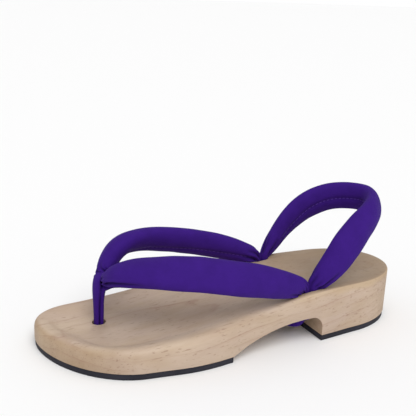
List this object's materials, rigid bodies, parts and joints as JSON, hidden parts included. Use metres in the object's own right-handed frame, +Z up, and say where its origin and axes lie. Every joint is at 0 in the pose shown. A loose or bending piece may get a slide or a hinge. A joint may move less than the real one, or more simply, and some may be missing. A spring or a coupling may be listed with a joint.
{
  "type": "geta sandal",
  "caption": "Left wooden geta sandal with a sawn waist, rubber soles, padded thong straps and a padded strap round the heel.",
  "frame": {"origin": "on the floor, under the middle of the sole's outline", "axes": "+Z up, -Y towards the toe, +X towards the outer side of the left foot"},
  "size_m": [0.0908, 0.245, 0.0904],
  "materials": {
    "wood": "bare sanded light wood, satin",
    "rubber": "matte sheet rubber, near black",
    "strap_cloth": "plain purple woven cloth over soft padding"
  },
  "bodies": {
    "root": {"wooden_sole": "wood", "forefoot_rubber": "rubber", "heel_rubber": "rubber", "thong_straps": "strap_cloth", "heel_strap": "strap_cloth", "toe_thong": "strap_cloth"}
  },
  "joints": []
}
